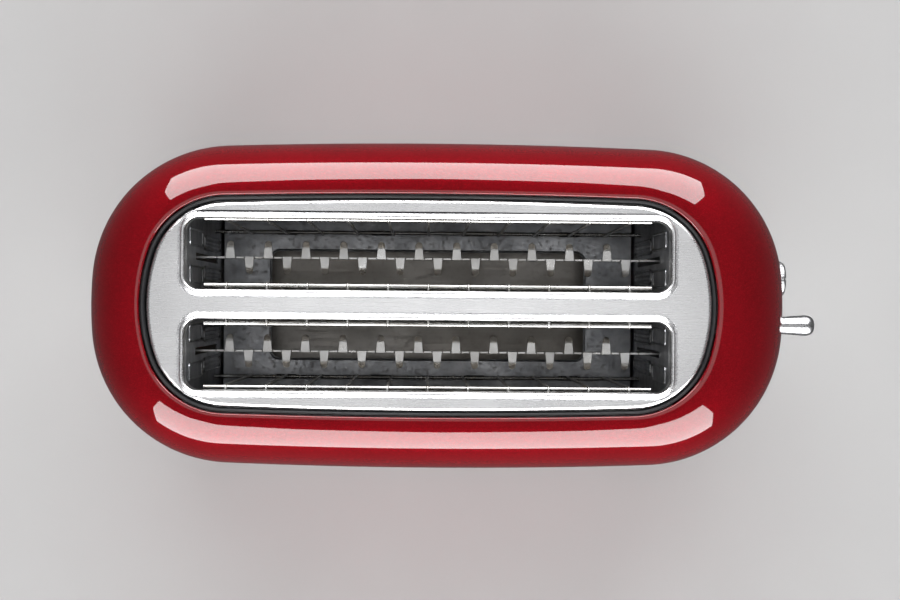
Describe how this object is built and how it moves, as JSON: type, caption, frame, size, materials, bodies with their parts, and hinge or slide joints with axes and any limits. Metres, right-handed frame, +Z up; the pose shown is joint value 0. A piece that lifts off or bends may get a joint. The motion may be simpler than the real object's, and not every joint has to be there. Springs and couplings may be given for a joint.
{
  "type": "pop up toaster",
  "caption": "Long oval pop-up toaster with side-by-side slots, glossy enamelled housing, brushed slot plate, end-mounted lever and dial, and a pull-out crumb tray.",
  "frame": {"origin": "on the table under the middle of the overall length and width (feet at z = 0)", "axes": "+X to the end with the lever and dial, -X to the crumb tray end, +Y to the back long side, +Z up"},
  "size_m": [0.418, 0.186, 0.2053],
  "materials": {
    "red_enamel": "gloss enamel",
    "brushed_stainless": "brushed lengthwise",
    "bright_chrome": "polished",
    "black_plastic": "satin moulded",
    "dark_rubber": "matt",
    "galvanised_sheet": "dull zinc",
    "plated_wire": "bright plated",
    "mica_board": "flaky",
    "resistance_ribbon": "oxidised",
    "circuit_laminate": "solder mask",
    "coil_copper": "enamelled copper",
    "clear_plastic": "frosted clear",
    "yellow_brass": "turned"
  },
  "bodies": {
    "body": {"housing_shell": "red_enamel", "control_fascia": "brushed_stainless", "indicator_lens": "clear_plastic", "deck_plate": "brushed_stainless", "deck_trim_ring": "black_plastic", "base_pan": "black_plastic", "cord_gland": "dark_rubber", "base_screw_1": "plated_wire", "base_screw_2": "plated_wire", "base_screw_3": "plated_wire", "base_screw_4": "plated_wire", "foot_1": "dark_rubber", "foot_2": "dark_rubber", "foot_3": "dark_rubber", "foot_4": "dark_rubber", "end_plate_front": "galvanised_sheet", "end_plate_rear": "galvanised_sheet", "chassis_floor": "galvanised_sheet", "reflector_left": "galvanised_sheet", "reflector_right": "galvanised_sheet", "element_board_outer_left": "mica_board", "element_board_inner_left": "mica_board", "element_board_inner_right": "mica_board", "element_board_outer_right": "mica_board", "heating_ribbon_outer_left": "resistance_ribbon", "heating_ribbon_inner_left": "resistance_ribbon", "heating_ribbon_inner_right": "resistance_ribbon", "heating_ribbon_outer_right": "resistance_ribbon", "guide_rod": "bright_chrome", "rod_bracket": "galvanised_sheet", "magnet_shelf": "galvanised_sheet", "magnet_core": "galvanised_sheet", "magnet_coil": "coil_copper", "switch_block": "black_plastic", "control_board": "circuit_laminate", "dial_potentiometer": "black_plastic", "pop_spring": "plated_wire"},
    "bread_lift": {"lift_bridge": "galvanised_sheet", "bread_rack_left": "plated_wire", "bread_rack_right": "plated_wire", "lift_sleeve": "yellow_brass", "lever_arm": "galvanised_sheet", "lever_knob": "bright_chrome", "armature_plate": "galvanised_sheet"},
    "guard_left_outer": {"guard_left_outer": "plated_wire"},
    "guard_left_inner": {"guard_left_inner": "plated_wire"},
    "guard_right_outer": {"guard_right_outer": "plated_wire"},
    "guard_right_inner": {"guard_right_inner": "plated_wire"},
    "dial": {"shade_dial": "bright_chrome"},
    "cancel": {"cancel_button": "black_plastic"},
    "reheat": {"reheat_button": "black_plastic"},
    "bagel": {"bagel_button": "black_plastic"},
    "frozen": {"frozen_button": "black_plastic"},
    "tray": {"crumb_tray": "galvanised_sheet", "crumb_tray_handle": "black_plastic"}
  },
  "joints": [
    {"name": "lift_slide", "type": "slide", "parent": "body", "child": "bread_lift", "axis": [0, 0, 1], "range_m": [-0.06, 0.014], "stiffness_N_per_m": 30, "springref_m": 0.0515, "deforming": ["pop_spring"]},
    {"name": "guard_left_outer_hinge", "type": "hinge", "parent": "body", "child": "guard_left_outer", "pos_m": [-0.018, 0.0447, 0.076], "axis": [1, 0, 0], "range_deg": [-1.1, 4.5]},
    {"name": "guard_left_inner_hinge", "type": "hinge", "parent": "body", "child": "guard_left_inner", "pos_m": [-0.018, 0.0103, 0.076], "axis": [1, 0, 0], "range_deg": [-4.5, 1.1]},
    {"name": "guard_right_outer_hinge", "type": "hinge", "parent": "body", "child": "guard_right_outer", "pos_m": [-0.018, -0.0447, 0.076], "axis": [1, 0, 0], "range_deg": [-4.5, 1.1]},
    {"name": "guard_right_inner_hinge", "type": "hinge", "parent": "body", "child": "guard_right_inner", "pos_m": [-0.018, -0.0103, 0.076], "axis": [1, 0, 0], "range_deg": [-1.1, 4.5]},
    {"name": "dial_turn", "type": "hinge", "parent": "body", "child": "dial", "pos_m": [0.19, 0.018, 0.08], "axis": [1, 0, 0], "range_deg": [-135, 135]},
    {"name": "cancel_press", "type": "slide", "parent": "body", "child": "cancel", "axis": [-1, 0, 0], "range_m": [0, 0.0015], "stiffness_N_per_m": 400},
    {"name": "reheat_press", "type": "slide", "parent": "body", "child": "reheat", "axis": [-1, 0, 0], "range_m": [0, 0.0015], "stiffness_N_per_m": 400},
    {"name": "bagel_press", "type": "slide", "parent": "body", "child": "bagel", "axis": [-1, 0, 0], "range_m": [0, 0.0015], "stiffness_N_per_m": 400},
    {"name": "frozen_press", "type": "slide", "parent": "body", "child": "frozen", "axis": [-1, 0, 0], "range_m": [0, 0.0015], "stiffness_N_per_m": 400},
    {"name": "tray_slide", "type": "slide", "parent": "body", "child": "tray", "axis": [-1, 0, 0], "range_m": [0, 0.25]}
  ],
  "couplings": [
    {"joint": "guard_left_outer_hinge", "follows": "lift_slide", "rad_per_m": -1.27},
    {"joint": "guard_left_inner_hinge", "follows": "lift_slide", "rad_per_m": 1.27},
    {"joint": "guard_right_outer_hinge", "follows": "lift_slide", "rad_per_m": 1.27},
    {"joint": "guard_right_inner_hinge", "follows": "lift_slide", "rad_per_m": -1.27}
  ]
}
